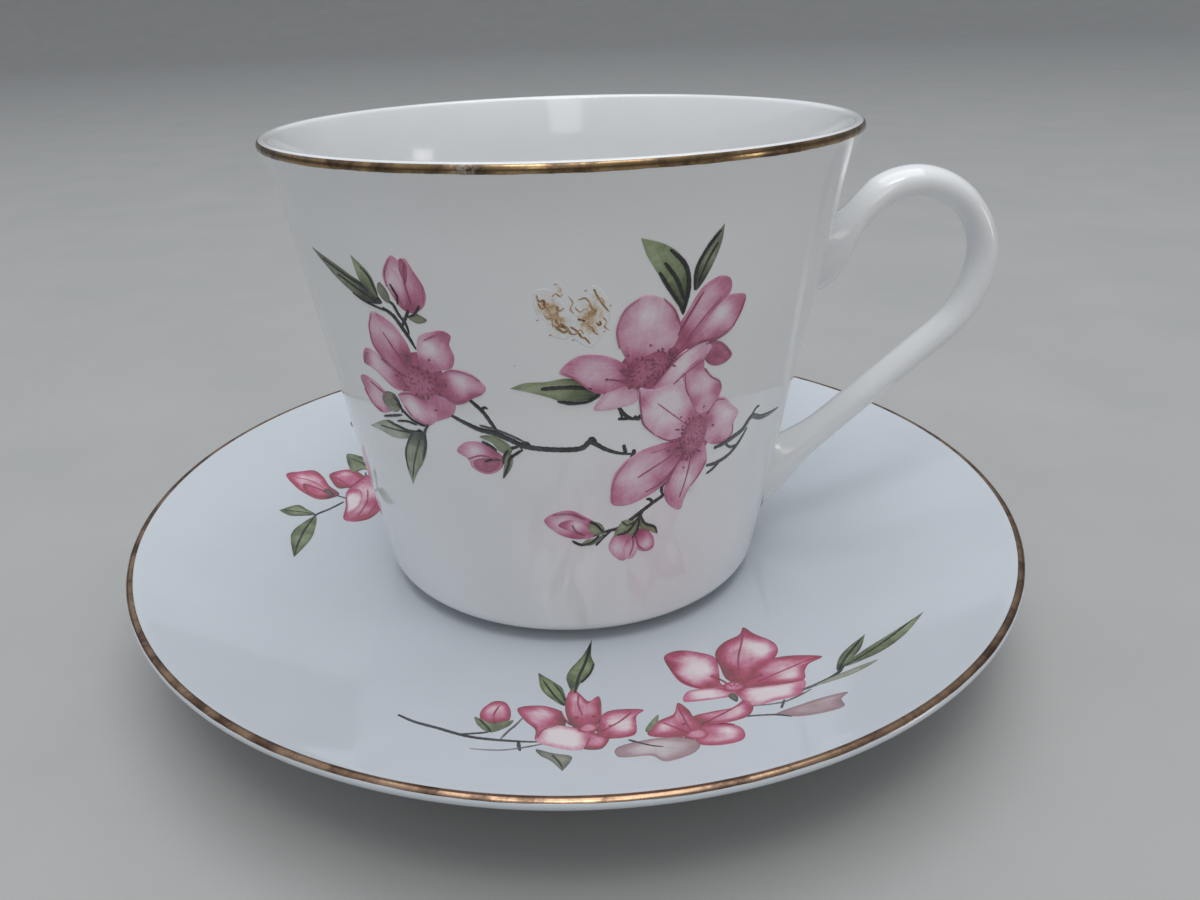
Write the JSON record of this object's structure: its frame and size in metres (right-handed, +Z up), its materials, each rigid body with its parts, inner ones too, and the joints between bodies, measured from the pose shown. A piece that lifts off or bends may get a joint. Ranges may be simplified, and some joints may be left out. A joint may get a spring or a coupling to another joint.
{
  "type": "teacup and saucer",
  "caption": "Flared porcelain teacup with a loop handle, blossom spray transfers and a thin gilded rim, standing on a matching dished saucer.",
  "frame": {"origin": "middle of the saucer's foot ring, on the surface that it stands on", "axes": "+Z up along the axis of cup and saucer, +X along the handle, -Y the side with the large blossom spray"},
  "size_m": [0.142, 0.142, 0.0775],
  "materials": {
    "cup_glaze": "clear glossy glaze over bluish white china",
    "saucer_glaze": "clear glossy glaze over bluish white china",
    "blossom_enamel": "rose, green and dark brown transfer print fired into the glaze",
    "gold_lustre": "thin fired gold, worn"
  },
  "bodies": {
    "saucer": {"saucer_dish": "saucer_glaze", "saucer_rim_gilding": "gold_lustre", "saucer_front_transfer": "blossom_enamel", "saucer_side_transfer": "blossom_enamel"},
    "cup": {"cup_bowl": "cup_glaze", "cup_handle": "cup_glaze", "cup_rim_gilding": "gold_lustre", "cup_front_transfer": "blossom_enamel", "cup_back_transfer": "blossom_enamel", "cup_gold_flecks": "gold_lustre"}
  },
  "joints": [
    {"name": "cup_lift", "type": "slide", "parent": "saucer", "child": "cup", "axis": [0, 0, 1], "range_m": [0, 0.1]}
  ]
}
